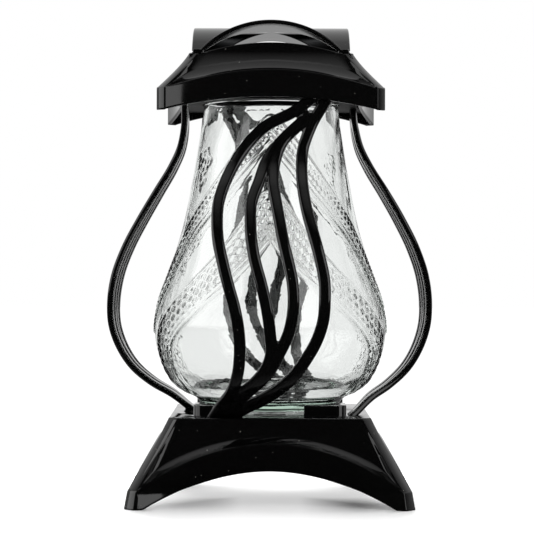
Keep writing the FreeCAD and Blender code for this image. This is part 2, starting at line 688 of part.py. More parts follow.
shield = doc.addObject("PartDesign::Body", "heat_shield")
shield_outline = add_sketch(shield, "shield_outline", "Sizes.shield_bottom")
draw_cut_square(shield_outline, s.shield_half, s.roof_corner, "Sizes.shield_half", "Sizes.roof_corner")
add_pad(shield, shield_outline, "shield_sheet", "Sizes.shield_thickness")
peg_hole = s.peg_diameter / 2 + s.peg_clearance
shield_peg = add_sketch(shield, "shield_peg_hole", "Sizes.shield_bottom")
draw_circle(shield_peg, (s.peg_offset, s.peg_offset), peg_hole, ("Sizes.peg_offset", "Sizes.peg_offset"),
            "Sizes.peg_diameter / 2 + Sizes.peg_clearance")
add_ring(shield, add_pocket(shield, shield_peg, "peg_hole", "Sizes.shield_thickness"),
         "peg_holes", len(CORNERS))
shield_hole = add_sketch(shield, "shield_vent_hole", "Sizes.shield_bottom")
draw_circle(shield_hole, (s.shield_ring_radius, 0), s.shield_hole_diameter / 2,
            ("Sizes.shield_ring_radius", "0"), "Sizes.shield_hole_diameter / 2")
add_ring(shield, add_pocket(shield, shield_hole, "vent_hole", "Sizes.shield_thickness"),
         "vent_holes", SHIELD_HOLES)

# Push nuts: spring steel washers forced onto the pegs under the shield
nuts = []
for number, corner in enumerate(CORNERS):
    washer = add_upright(f"nut_disc_{number}", corner, "Sizes.nut_diameter / 2", "Sizes.nut_bottom",
                         "Sizes.nut_thickness")
    bore = add_upright(f"nut_bore_{number}", corner, "Sizes.peg_diameter / 2", "Sizes.nut_bottom",
                       "Sizes.nut_thickness")
    nuts.append(add_cut(f"nut_{number}", washer, bore))
compound = doc.addObject("Part::Compound", "push_nuts")
compound.Links = nuts

NODES = ["base", "glass_jar"] + [f"grille_{side}" for side in GRILLES] + [
    "top_frame", "roof", "vent_cap", "heat_shield", "push_nuts"]
doc.recompute()
for thing in doc.Objects:
    if "Invalid" in thing.State or "Error" in thing.State:
        raise ValueError(f"{thing.Name} failed: {thing.State}")
os.makedirs("parts", exist_ok=True)
for name in NODES:
    shape = doc.getObject(name).Shape
    if shape.isNull() or not shape.isValid() or not shape.Solids:
        raise ValueError(f"{name} has no valid solid")
    shape.exportStep(f"parts/{name}.step")
    print(name, len(shape.Solids), "solids", round(shape.Volume), "mm3")
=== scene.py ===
# A grave lantern of glossy black plastic round a pressed-glass jar, standing on a white floor.
# +Z up, origin on the floor under the lantern's middle, front towards -Y. Camera, floor and lamps
# are in metres, and the sizes of the lantern's pieces in millimetres.
from math import cos, hypot, pi, radians, sin, sqrt, tan

import bpy
import numpy as np
from mathutils import Matrix, Vector


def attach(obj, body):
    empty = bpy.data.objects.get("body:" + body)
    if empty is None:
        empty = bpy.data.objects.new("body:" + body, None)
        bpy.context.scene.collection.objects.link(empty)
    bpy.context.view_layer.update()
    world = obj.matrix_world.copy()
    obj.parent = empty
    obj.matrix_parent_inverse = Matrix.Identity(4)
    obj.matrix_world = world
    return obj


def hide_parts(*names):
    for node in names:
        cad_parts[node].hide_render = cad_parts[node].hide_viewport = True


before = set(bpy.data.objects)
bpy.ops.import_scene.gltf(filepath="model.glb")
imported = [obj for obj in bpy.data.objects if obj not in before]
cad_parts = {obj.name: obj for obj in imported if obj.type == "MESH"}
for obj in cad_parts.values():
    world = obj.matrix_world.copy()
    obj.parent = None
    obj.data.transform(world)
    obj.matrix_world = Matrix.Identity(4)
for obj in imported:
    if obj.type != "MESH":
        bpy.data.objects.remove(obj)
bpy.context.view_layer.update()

# Camera: level, at half the lantern's height and 1.34 m in front of its axis. The axis stands a
# few pixels right of the picture's middle, and the horizon a few above it.
FRAME_PIXELS, FOCAL_PIXELS, AXIS_RIGHT_PIXELS, HORIZON_UP_PIXELS = 534, 1943, 3.4, 5
SENSOR, CAMERA_AWAY, CAMERA_UP, CAMERA_ROLL = 36, 1.3425, 0.160, -0.17
camera_data = bpy.data.cameras.new("camera")
camera_data.sensor_width = SENSOR
camera_data.lens = FOCAL_PIXELS / FRAME_PIXELS * SENSOR
camera_data.shift_x = -AXIS_RIGHT_PIXELS / FRAME_PIXELS
camera_data.shift_y = -HORIZON_UP_PIXELS / FRAME_PIXELS
camera_data.clip_end = 20
camera = bpy.data.objects.new("camera", camera_data)
camera.location = (0, -CAMERA_AWAY, CAMERA_UP)
camera.rotation_euler = (radians(90), radians(CAMERA_ROLL), 0)
bpy.context.scene.collection.objects.link(camera)
bpy.context.scene.camera = camera
bpy.context.scene.view_settings.view_transform = "Standard"


# Surround: a white studio in which polished black still shows its form. The camera sees it plain
# white, a reflection finds it dark in front and lighter behind and overhead, and what is seen
# through the glass is lightest straight behind.
def linear(hex_colour):
    """The linear colour of an sRGB hex value."""
    parts = [int(hex_colour[at:at + 2], 16) / 255 for at in (1, 3, 5)]
    return [p / 12.92 if p <= 0.04045 else ((p + 0.055) / 1.055) ** 2.4 for p in parts] + [1.0]


def add_node(tree, kind, inputs=None, **settings):
    """Add a shader node, set its properties, and give its inputs values or link them to sockets."""
    node = tree.nodes.new(kind)
    for name, value in settings.items():
        setattr(node, name, value)
    for name, value in (inputs or {}).items():
        if isinstance(value, bpy.types.NodeSocket):
            tree.links.new(value, node.inputs[name])
        else:
            node.inputs[name].default_value = value
    return node


world = bpy.data.worlds.new("white_studio")
bpy.context.scene.world = world
world.use_nodes = True
tree = world.node_tree
tree.nodes.clear()
rays = add_node(tree, "ShaderNodeLightPath")
direction = add_node(tree, "ShaderNodeTexCoord")
split = add_node(tree, "ShaderNodeSeparateXYZ", {"Vector": direction.outputs["Generated"]})
behind = add_node(tree, "ShaderNodeMapRange", {
    "Value": split.outputs["Y"], "From Min": -0.3, "From Max": 0.5, "To Min": 0.02, "To Max": 0.8})
overhead = add_node(tree, "ShaderNodeMapRange", {
    "Value": split.outputs["Z"], "From Min": 0.83, "From Max": 0.945, "To Min": 0.0, "To Max": 0.72})
reflected = add_node(tree, "ShaderNodeMath", {
    0: behind.outputs[0], 1: overhead.outputs[0]}, operation="MAXIMUM")
backdrop = add_node(tree, "ShaderNodeMapRange", {
    "Value": split.outputs["Y"], "From Min": 0.35, "From Max": 0.92, "To Min": 0.34, "To Max": 0.94})
indirect = add_node(tree, "ShaderNodeMix", {
    "Factor": rays.outputs["Is Transmission Ray"], "A": reflected.outputs[0], "B": backdrop.outputs[0]},
    data_type="FLOAT")
strength = add_node(tree, "ShaderNodeMix", {
    "Factor": rays.outputs["Is Camera Ray"], "A": indirect.outputs[0], "B": 1.0}, data_type="FLOAT")
surround = add_node(tree, "ShaderNodeBackground", {
    "Color": linear("#ffffff"), "Strength": strength.outputs[0]})
add_node(tree, "ShaderNodeOutputWorld", {"Surface": surround.outputs[0]})


# Floor: a matt white sweep. It glows for the camera, so that it runs into the surround without an
# edge, but not at the feet and less under the arches, where the paint shows the lantern's shadow.
def new_material(name):
    material = bpy.data.materials.new(name)
    material.use_nodes = True
    material.node_tree.nodes.clear()
    return material, material.node_tree


def deselect_all():
    for thing in bpy.context.selected_objects:
        thing.select_set(False)


deselect_all()
bpy.ops.mesh.primitive_plane_add(size=8, location=(0, 1.5, 0))
floor = bpy.context.object
floor.name = "floor"
material, tree = new_material("white_sweep")
rays = add_node(tree, "ShaderNodeLightPath")
ground = add_node(tree, "ShaderNodeNewGeometry")
place = add_node(tree, "ShaderNodeSeparateXYZ", {"Vector": ground.outputs["Position"]})
unsigned = add_node(tree, "ShaderNodeVectorMath", {0: ground.outputs["Position"]}, operation="ABSOLUTE")
reach = add_node(tree, "ShaderNodeSeparateXYZ", {"Vector": unsigned.outputs[0]})

# How far out a place is along the longer and the shorter of its two ways.
longer, shorter = (
    add_node(tree, "ShaderNodeMath", {0: reach.outputs["X"], 1: reach.outputs["Y"]}, operation=kind)
    for kind in ("MAXIMUM", "MINIMUM"))
under_arch = add_node(tree, "ShaderNodeMapRange", {
    "Value": shorter.outputs[0], "From Min": 0.02, "From Max": 0.06, "To Min": 0.52, "To Max": 0.0})
glowing = add_node(tree, "ShaderNodeMapRange", {
    "Value": longer.outputs[0], "From Min": 0.098, "From Max": 0.155, "To Min": under_arch.outputs[0],
    "To Max": 1.0})
mirrored = add_node(tree, "ShaderNodeMath", {
    0: rays.outputs["Is Glossy Ray"], 1: rays.outputs["Is Transmission Ray"]}, operation="GREATER_THAN")
share = add_node(tree, "ShaderNodeMath", {
    0: rays.outputs["Is Camera Ray"], 1: glowing.outputs[0]}, operation="MULTIPLY")
share = add_node(tree, "ShaderNodeMath", {
    0: share.outputs[0], 1: rays.outputs["Is Transmission Ray"]}, operation="MAXIMUM")
share = add_node(tree, "ShaderNodeMath", {
    0: share.outputs[0], 1: mirrored.outputs[0]}, operation="MAXIMUM")

# The gloss mirrors the floor dark in front and lighter behind; through the glass it is near white.
in_gloss = add_node(tree, "ShaderNodeMapRange", {
    "Value": place.outputs["Y"], "From Min": -0.12, "From Max": 0.10, "To Min": 0.01, "To Max": 0.5})
strength = add_node(tree, "ShaderNodeMix", {
    "Factor": rays.outputs["Is Transmission Ray"], "A": 1.1, "B": 0.95}, data_type="FLOAT")
strength = add_node(tree, "ShaderNodeMix", {
    "Factor": mirrored.outputs[0], "A": strength.outputs[0], "B": in_gloss.outputs[0]},
    data_type="FLOAT")
paint = add_node(tree, "ShaderNodeBsdfDiffuse", {"Color": linear("#f4f4f4")})
glow = add_node(tree, "ShaderNodeEmission", {
    "Color": linear("#ffffff"), "Strength": strength.outputs[0]})
mixed = add_node(tree, "ShaderNodeMixShader", {
    0: share.outputs[0], 1: paint.outputs[0], 2: glow.outputs[0]})
add_node(tree, "ShaderNodeOutputMaterial", {"Surface": mixed.outputs[0]})
floor.data.materials.append(material)

# Lamps: a wide soft box at the left and a narrower one at the right draw the light lines along the
# black edges. Two more behind show in no reflection, and throw the soft shadow forwards.
LAMP_AWAY, LAMP_AIM = 1.5, 0.16


def add_soft_box(name, azimuth, elevation, width, height, power):
    """A rectangular lamp that faces the lantern; azimuth 0 is the camera's side, 90 the right."""
    lamp = bpy.data.lights.new(name, "AREA")
    lamp.shape = "RECTANGLE"
    lamp.size, lamp.size_y, lamp.energy = width, height, power
    box = bpy.data.objects.new(name, lamp)
    a, e = radians(azimuth), radians(elevation)
    out = Vector((sin(a) * cos(e), -cos(a) * cos(e), sin(e)))
    box.location = Vector((0, 0, LAMP_AIM)) + out * LAMP_AWAY
    box.rotation_euler = out.to_track_quat("Z", "Y").to_euler()
    bpy.context.scene.collection.objects.link(box)
    return box


add_soft_box("soft_box_left", -68, 25, 1.75, 1.2, 11.5)
add_soft_box("soft_box_right", 43, 25, 0.9, 1.2, 6.5)
for backlight in (add_soft_box("backlight_high", 180, 64, 1.5, 1.0, 26),
                  add_soft_box("backlight_low", 188, 11, 1.5, 0.3, 95)):
    backlight.visible_camera = backlight.visible_glossy = backlight.visible_transmission = False


# Base: a hollow foot moulded in glossy black ABS. Each side bows inwards in plan, carries an upright
# band with an arched top over an arched opening, and is coved in above it; four low posts on its
# top plate hold the foot of the jar, and slots beside them take the grilles' tabs.
def shaped_grid(name, across, up, place):
    """A grid of across by up cells, with each point put in place by a function of two counts."""
    deselect_all()
    bpy.ops.mesh.primitive_grid_add(x_subdivisions=across, y_subdivisions=up, size=2)
    piece = bpy.context.object
    piece.name = piece.data.name = name
    points = np.empty(len(piece.data.vertices) * 3)
    piece.data.vertices.foreach_get("co", points)
    points = points.reshape(-1, 3)
    column = np.round((points[:, 0] + 1) / 2 * across).astype(int)
    row = np.round((points[:, 1] + 1) / 2 * up).astype(int)
    x, y, z = place(column, row)
    piece.data.vertices.foreach_set("co", np.stack([x, y, z], 1).ravel() / 1000)
    piece.data.update()
    return piece


def select_only(piece):
    deselect_all()
    bpy.context.view_layer.objects.active = piece
    piece.select_set(True)


def tidy_mesh(piece, gap=0.02):
    """Merge a piece's doubled points, drop flat slivers and turn its faces outwards."""
    select_only(piece)
    bpy.ops.object.mode_set(mode="EDIT")
    bpy.ops.mesh.select_all(action="SELECT")
    bpy.ops.mesh.remove_doubles(threshold=gap / 1000)
    bpy.ops.mesh.dissolve_degenerate(threshold=gap / 2000)
    bpy.ops.mesh.select_all(action="SELECT")
    bpy.ops.mesh.normals_make_consistent(inside=False)
    bpy.ops.object.mode_set(mode="OBJECT")


def join(pieces, name):
    deselect_all()
    for piece in pieces:
        piece.select_set(True)
    bpy.context.view_layer.objects.active = pieces[0]
    bpy.ops.object.join()
    joined = bpy.context.object
    joined.name = joined.data.name = name
    return joined


def turn(piece, quarters):
    """Turn a piece's mesh by quarter turns about the lantern's axis."""
    piece.data.transform(Matrix.Rotation(quarters * pi / 2, 4, "Z"))


def turned_copy(piece, quarters):
    """A copy of a piece, with its own mesh, turned by quarter turns about the lantern's axis."""
    copy = piece.copy()
    copy.data = piece.data.copy()
    bpy.context.scene.collection.objects.link(copy)
    turn(copy, quarters)
    return copy


def all_round(piece, name):
    return join([piece] + [turned_copy(piece, quarters) for quarters in (1, 2, 3)], name)


def modify(piece, kind, **settings):
    """Add a modifier and apply it."""
    select_only(piece)
    modifier = piece.modifiers.new(kind.lower(), kind)
    for name, value in settings.items():
        setattr(modifier, name, value)
    bpy.ops.object.modifier_apply(modifier=modifier.name)


def unite(piece, *others, operation="UNION"):
    """Join or cut a piece with others by boolean, and delete the others."""
    for other in others:
        modify(piece, "BOOLEAN", object=other, operation=operation, solver="EXACT")
        bpy.data.objects.remove(other, do_unlink=True)


def round_edges(piece, width, steps, angle):
    """Round the edges where the faces turn by more than an angle in degrees."""
    modify(piece, "BEVEL", width=width / 1000, segments=steps, limit_method="ANGLE",
           angle_limit=radians(angle), use_clamp_overlap=False)


def smooth(piece, angle):
    select_only(piece)
    bpy.ops.object.shade_smooth_by_angle(angle=radians(angle))


def add_block(name, low, high):
    """A box between two corners."""
    deselect_all()
    size = [(b - a) / 1000 for a, b in zip(low, high)]
    middle = [(a + b) / 2000 for a, b in zip(low, high)]
    bpy.ops.mesh.primitive_cube_add(size=1, location=middle, scale=size)
    bpy.ops.object.transform_apply(location=True, rotation=True, scale=True)
    bpy.context.object.name = name
    return bpy.context.object


def add_rod(name, radius, low, high, points, x=0, y=0):
    """An upright round bar."""
    deselect_all()
    bpy.ops.mesh.primitive_cylinder_add(
        vertices=points, radius=radius / 1000, depth=(high - low) / 1000,
        location=(x / 1000, y / 1000, (low + high) / 2000))
    bpy.ops.object.transform_apply(location=True, rotation=True, scale=True)
    bpy.context.object.name = name
    return bpy.context.object


def round_uprights(piece, width, steps):
    """Round the upright edges of a box."""
    select_only(piece)
    bpy.ops.object.mode_set(mode="EDIT")
    bpy.ops.mesh.select_mode(type="EDGE")
    bpy.ops.mesh.select_all(action="DESELECT")
    bpy.ops.object.mode_set(mode="OBJECT")
    mesh = piece.data
    for edge in mesh.edges:
        a, b = (mesh.vertices[i].co for i in edge.vertices)
        edge.select = abs(a.z - b.z) > 0.0005 and hypot(a.x - b.x, a.y - b.y) < 1e-6
    bpy.ops.object.mode_set(mode="EDIT")
    bpy.ops.mesh.bevel(offset=width / 1000, segments=steps)
    bpy.ops.object.mode_set(mode="OBJECT")


def cap_level(piece, height):
    """Fill the open loop of edges at a height with one flat face."""
    select_only(piece)
    bpy.ops.object.mode_set(mode="EDIT")
    bpy.ops.mesh.select_mode(type="EDGE")
    bpy.ops.mesh.select_non_manifold(extend=False)
    bpy.ops.object.mode_set(mode="OBJECT")
    mesh = piece.data
    for edge in mesh.edges:
        if any(abs(mesh.vertices[i].co.z * 1000 - height) > 0.05 for i in edge.vertices):
            edge.select = False
    bpy.ops.object.mode_set(mode="EDIT")
    bpy.ops.mesh.edge_face_add()
    bpy.ops.mesh.select_all(action="SELECT")
    bpy.ops.mesh.normals_make_consistent(inside=False)
    bpy.ops.object.mode_set(mode="OBJECT")


def arc_radius(half_span, rise):
    return (half_span ** 2 + rise ** 2) / (2 * rise)


def arc_drop(x, radius):
    """How far a circle falls below its top, x away from the middle."""
    return radius - np.sqrt(np.maximum(radius ** 2 - x ** 2, 0))


# The panel and the bed of the cove over the band lie this much inside the top's edge.
PANEL_INSET, BED_INSET = 0.3, 0.4


def coved_side(name, form, columns, band_rows, panel_rows):
    """The outer skin of the side towards -Y and of its right corner.

    A band, flared at its foot, stands under a leaning panel. The panel is coved out to the band's
    arched top and to both hips. Columns are places along the side, -1 and 1 at its corners, and
    the rows follow the band's top.
    """
    slope = tan(radians(form["lean"]))
    hips = np.polyfit(*zip(*form["hips"]), min(len(form["hips"]) - 1, 3))
    crease, half, corner = form["crease"], form["half"], form["corner"]
    band_top, top, cove = form["band_top"], form["top"], form["apron_cove"]
    bow_radius = arc_radius(half - corner, form["bow"])
    bed = form["top_half"] - BED_INSET + (top - band_top) * slope
    sunk = cove - sqrt(cove ** 2 - max(cove - (half - form["bow"] - bed), 0) ** 2)
    rise = band_top - crease - sunk
    rim_radius = arc_radius(half - corner, rise)
    rim_centre = crease + rise - rim_radius

    def flare_at(z):
        return np.clip((crease - z) / (crease - form["foot"]), 0, 1) * (form["foot_half"] - half)

    def half_at(z):
        """Half the width between the hips at a height."""
        return np.where(z <= crease, half + flare_at(z), np.minimum(np.polyval(hips, z), half))

    def bow_at(x, z):
        """How far out the band stands, bowed inwards in plan."""
        radius = bow_radius - flare_at(z)
        out = half - form["bow"] + bow_radius - np.sqrt(np.maximum(radius ** 2 - x ** 2, 0))
        return np.minimum(out, half_at(np.minimum(z, crease)))

    def panel_at(x, z):
        """The outermost of the panel with its coves to the hips, and the cove to the band."""
        run, hip_half = form["hip_cove"], half_at(z)
        up = np.clip((z - band_top) / (top - band_top), 0, 1)
        sag = form["sag"] * 4 * up * (1 - up) * (1 - np.clip(np.abs(x) / hip_half, 0, 1) ** 6)
        panel = form["top_half"] - PANEL_INSET + (top - z) * slope - sag
        share = np.clip((np.abs(x) - (hip_half - corner - run)) / run, 0, 1)
        hip = hip_half - (hip_half - panel) * np.sqrt(1 - share ** 2)
        away = np.clip(np.hypot(x, z - rim_centre) - rim_radius, 0, cove)
        apron = (bed + cove - np.sqrt(np.maximum(cove ** 2 - (cove - away) ** 2, 0))
                 + slope * (band_top - z))
        return np.minimum(np.maximum(hip, np.where(away < cove, apron, 0)), bow_at(x, z))

    def crease_at(share):
        """How high the band's top meets the coves, for shares of the way to the hip.

        Each pass brings the height nearer to the one where both meet.
        """
        z = np.full(len(share), crease)
        for _ in range(60):
            x = share * (half_at(z) - corner)
            out = np.clip(bow_at(x, z) - bed - slope * (band_top - z), 0.01, cove)
            away = cove - np.sqrt(np.maximum(cove ** 2 - (cove - out) ** 2, 0))
            rim = rim_centre + np.sqrt(np.maximum((rim_radius + away) ** 2 - x ** 2, 0))
            z = (z + np.maximum(rim, crease)) / 2
        return z

    low = form["low_at"](columns * (form["foot_half"] - corner))
    mid = crease_at(columns)
    high = np.full(len(columns), float(top))
    for _ in range(20):
        high = form["high_at"](columns * (half_at(high) - corner))

    def place(column, row):
        """Rows stand closer just above the crease; the last column is the corner's far edge."""
        at = np.minimum(column, len(columns) - 1)
        in_band, across_corner = row <= band_rows, column == len(columns)
        share = np.where(in_band, row / band_rows, (row - band_rows - 1) / panel_rows)
        z = np.where(in_band, low[at] + (mid[at] - low[at]) * share,
                     mid[at] + (high[at] - mid[at]) * share ** 1.3)
        x = columns[at] * (half_at(z) - corner)
        y = np.where(in_band, bow_at(x, z), panel_at(x, z))
        y = np.where(np.abs(columns[at]) == 1, half_at(z), y)
        x, y = np.where(across_corner, [half_at(z), half_at(z) - corner], [x, y])
        return x, -y, z

    return shaped_grid(name, len(columns), band_rows + 1 + panel_rows, place)


# The hips are points on the corner's edge, as (height, half width); low_at and high_at give the
# side's lower and upper edge at a place across it.
BASE_TOP, ARCH_HALF, ARCH_RISE = 57.3, 81.8, 23.3
BASE = {"foot": 0.0, "foot_half": 94.2, "crease": 11.5, "half": 92.4, "corner": 6.0, "bow": 16.2,
        "hips": [(11.5, 92.4), (34.4, 78.8), (57.3, 66.7)], "top": BASE_TOP, "top_half": 66.7,
        "lean": 22.0, "hip_cove": 8.0, "apron_cove": 6.5, "band_top": 41.3, "sag": 0.0,
        "low_at": lambda x: np.maximum(ARCH_RISE - arc_drop(x, arc_radius(ARCH_HALF, ARCH_RISE)), 0),
        "high_at": lambda x: np.full(len(x), BASE_TOP)}
WALL, EDGE_ROUND, EDGE_STEPS, EDGE_ANGLE = 2.5, 0.5, 2, 35
arch_share = ARCH_HALF / (BASE["foot_half"] - BASE["corner"])
arch_columns = np.linspace(-arch_share, arch_share, 97)
foot_columns = np.linspace(arch_share, 1, 5)[1:]
base_columns = np.concatenate([-foot_columns[::-1], arch_columns, foot_columns])
base = all_round(coved_side("base", BASE, base_columns, band_rows=14, panel_rows=40), "plinth")
tidy_mesh(base)
cap_level(base, BASE_TOP)
modify(base, "SOLIDIFY", thickness=WALL / 1000, offset=-1)

# The posts are what the jar's round seat and two wide gaps leave of one rounded block.
POST_HALF, POST_GAP, POST_RISE, POST_SUNK, POST_ROUND, JAR_SEAT = 51.0, 22.6, 7.2, 1.5, 6.0, 49.5
CUT_LOW, CUT_HIGH, CUT_REACH = BASE_TOP - 5, BASE_TOP + 20, 60
posts = add_block("posts", (-POST_HALF, -POST_HALF, BASE_TOP - POST_SUNK),
                  (POST_HALF, POST_HALF, BASE_TOP + POST_RISE))
round_uprights(posts, POST_ROUND, steps=6)
unite(posts, add_rod("seat", JAR_SEAT, CUT_LOW, CUT_HIGH, points=128),
      add_block("gap_across", (-POST_GAP, -CUT_REACH, CUT_LOW), (POST_GAP, CUT_REACH, CUT_HIGH)),
      add_block("gap_along", (-CUT_REACH, -POST_GAP, CUT_LOW), (CUT_REACH, POST_GAP, CUT_HIGH)),
      operation="DIFFERENCE")
unite(base, posts)

# Each grille's foot tab stands left of the middle of its side, in a slot with a little play.
GRILLE_IN, TAB_NEAR, TAB_FAR, TAB_HALF = 56.0, 22, 36, 1.2
SLOT_PLAY, SLOT_LOW, SLOT_HIGH = 0.3, BASE_TOP - 6, BASE_TOP + 3
SLOT_HALF = TAB_HALF + SLOT_PLAY
for quarters in range(4):
    slot = add_block("slot", (-TAB_FAR - SLOT_PLAY, -GRILLE_IN - SLOT_HALF, SLOT_LOW),
                     (-TAB_NEAR + SLOT_PLAY, -GRILLE_IN + SLOT_HALF, SLOT_HIGH))
    turn(slot, quarters)
    unite(base, slot, operation="DIFFERENCE")
round_edges(base, EDGE_ROUND, EDGE_STEPS, EDGE_ANGLE)

# The feet's leaning inner wall would reach a hair below the floor.
for vertex in base.data.vertices:
    vertex.co.z = max(vertex.co.z, 0)
smooth(base, EDGE_ANGLE)
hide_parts("base")
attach(base, "stand")

# Casing: acrylonitrile-butadiene-styrene moulded in a polished tool. The eye gets a deep piano
# black whose reflections are sharp but waver with the plastic's flow, dull a little where it has
# been handled, with pale specks of dust, most of them on what faces up.
WAVE_SIZE, SMEAR_SIZE, SPECK_SPACING, SPECK_RADIUS = 16.667, 40.0, 6.667, 0.3
material, tree = new_material("gloss_black_abs")
place = add_node(tree, "ShaderNodeTexCoord").outputs["Object"]
waves = add_node(tree, "ShaderNodeTexNoise", {"Vector": place, "Scale": 1000 / WAVE_SIZE, "Detail": 2})
bump = add_node(tree, "ShaderNodeBump", {
    "Strength": 0.05, "Distance": 0.0004, "Height": waves.outputs["Fac"]})
smears = add_node(tree, "ShaderNodeTexNoise", {"Vector": place, "Scale": 1000 / SMEAR_SIZE, "Detail": 6})
shine = add_node(tree, "ShaderNodeMapRange", {
    "Value": smears.outputs["Fac"], "From Min": 0.35, "From Max": 0.7, "To Min": 0.035, "To Max": 0.10})
specks = add_node(tree, "ShaderNodeTexVoronoi", {"Vector": place, "Scale": 1000 / SPECK_SPACING})
inside = add_node(tree, "ShaderNodeMath", {
    0: specks.outputs["Distance"], 1: SPECK_RADIUS / SPECK_SPACING}, operation="LESS_THAN")
surface = add_node(tree, "ShaderNodeNewGeometry")
upward = add_node(tree, "ShaderNodeSeparateXYZ", {"Vector": surface.outputs["Normal"]})
settled = add_node(tree, "ShaderNodeMapRange", {
    "Value": upward.outputs["Z"], "From Min": -0.2, "From Max": 0.6, "To Min": 0.3, "To Max": 0.8})
dust = add_node(tree, "ShaderNodeMath", {
    0: inside.outputs[0], 1: settled.outputs[0]}, operation="MULTIPLY")
colour = add_node(tree, "ShaderNodeMix", {
    "Factor": dust.outputs[0], "A": linear("#060606"), "B": linear("#8f8c86")}, data_type="RGBA")
dull = add_node(tree, "ShaderNodeMix", {
    "Factor": dust.outputs[0], "A": shine.outputs[0], "B": 0.8}, data_type="FLOAT")
shader = add_node(tree, "ShaderNodeBsdfPrincipled", {
    "Base Color": colour.outputs[2], "Roughness": dull.outputs[0], "IOR": 1.5,
    "Normal": bump.outputs[0]})
add_node(tree, "ShaderNodeOutputMaterial", {"Surface": shader.outputs[0]})
gloss_black = material
base.data.materials.append(gloss_black)

# Roof: moulded like the base, and laid on the frame by small ledges inside. Its fascia is arched
# below and above, its top is cut in four arches that leave the vent open under the cap, and flat
# lands in its corners carry the cap's feet.
FASCIA_FOOT, FASCIA_HALF, FASCIA_RISE = 259.4, 69.8, 9.7
ROOF_TOP, VENT_HALF, VENT_DROP = 306.3, 47.0, 7.9
LAND_LOW, LAND_HIGH, LAND_IN, LAND_OUT = 295.4, 298.4, 43.0, 54.4
ROOF = {"foot": FASCIA_FOOT, "foot_half": 75.0, "crease": 273.5, "half": 75.0, "corner": 5.2,
        "bow": 12.0, "hips": [(273.5, 75.0), (279.0, 70.7), (283.3, 66.2), (287.6, 62.4), (292.0, 58.8),
                              (296.3, 56.2), (301.0, 53.6), (306.3, 51.0)],
        "top": ROOF_TOP, "top_half": 51.0, "lean": 27.0, "hip_cove": 8.0, "apron_cove": 9.0,
        "band_top": 286.9, "sag": 0.7,
        "low_at": lambda x: (FASCIA_FOOT + FASCIA_RISE
                             - arc_drop(x, arc_radius(FASCIA_HALF, FASCIA_RISE))),
        "high_at": lambda x: np.maximum(
            ROOF_TOP - arc_drop(x, arc_radius(VENT_HALF, VENT_DROP)), LAND_HIGH)}
roof_columns = np.linspace(-1, 1, 97)
roof_side = coved_side("roof_side", ROOF, roof_columns, band_rows=10, panel_rows=36)
roof = all_round(roof_side, "pagoda_roof")
tidy_mesh(roof)
modify(roof, "SOLIDIFY", thickness=WALL / 1000, offset=-1)
CORNERS = ((1, 1), (-1, 1), (-1, -1), (1, -1))


def corner_block(name, corner, inner, outer, low, high):
    """A box over one corner, from inner to outer along both axes."""
    x, y = (sorted((side * inner, side * outer)) for side in corner)
    return add_block(name, (x[0], y[0], low), (x[1], y[1], high))


for corner in CORNERS:
    unite(roof, corner_block("land", corner, LAND_IN, LAND_OUT, LAND_LOW, LAND_HIGH))
LEDGE_PLACE, LEDGE_HALF, LEDGE_IN, LEDGE_OUT, LEDGE_LOW, LEDGE_HIGH = 48.0, 6, 61.1, 67.2, 271.5, 275.0
for quarters in range(4):
    for middle in (-LEDGE_PLACE, LEDGE_PLACE):
        ledge = add_block("ledge", (middle - LEDGE_HALF, -LEDGE_OUT, LEDGE_LOW),
                          (middle + LEDGE_HALF, -LEDGE_IN, LEDGE_HIGH))
        turn(ledge, quarters)
        unite(roof, ledge)
round_edges(roof, EDGE_ROUND, EDGE_STEPS, EDGE_ANGLE)
smooth(roof, EDGE_ANGLE)
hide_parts("roof")
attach(roof, "lid")
roof.data.materials.append(gloss_black)

# Vent cap: two crossing barrel vaults moulded in one piece of the same black ABS, with rounded
# rims. It stands on four feet whose pegs go down through the roof's corner lands.
CAP_HALF, CAP_RADIUS, CAP_AXIS, CAP_WALL, CAP_LOW, RIM_ROUND = 52.8, 66.4, 254.6, 2.7, 300.9, 0.9
FOOT_IN, FOOT_OUT, FOOT_TOP, FOOT_ROUND = 44.9, 52.0, 301.5, 0.6
PEG_PLACE, PEG_RADIUS, PEG_LOW, PEG_TOP = 47.0, 2.0, 291.9, 299.0
VAULT_ROWS = 52
vault_columns = np.linspace(1, -1, 81)


def place_vault(column, row):
    """A quarter of the cap, from a hair off its middle out to its rim towards -Y."""
    out = CAP_HALF * (0.0001 + row / VAULT_ROWS)
    out = np.minimum(out, CAP_HALF)
    x = vault_columns[column] * out
    return x, -out, CAP_AXIS + np.sqrt(CAP_RADIUS ** 2 - x ** 2)


def cut_level(piece, height, below):
    """Cut away what lies below or above a height, and close the cut."""
    select_only(piece)
    bpy.ops.object.mode_set(mode="EDIT")
    bpy.ops.mesh.select_all(action="SELECT")
    bpy.ops.mesh.bisect(plane_co=(0, 0, height / 1000), plane_no=(0, 0, 1), use_fill=True,
                        clear_inner=below, clear_outer=not below)
    bpy.ops.object.mode_set(mode="OBJECT")


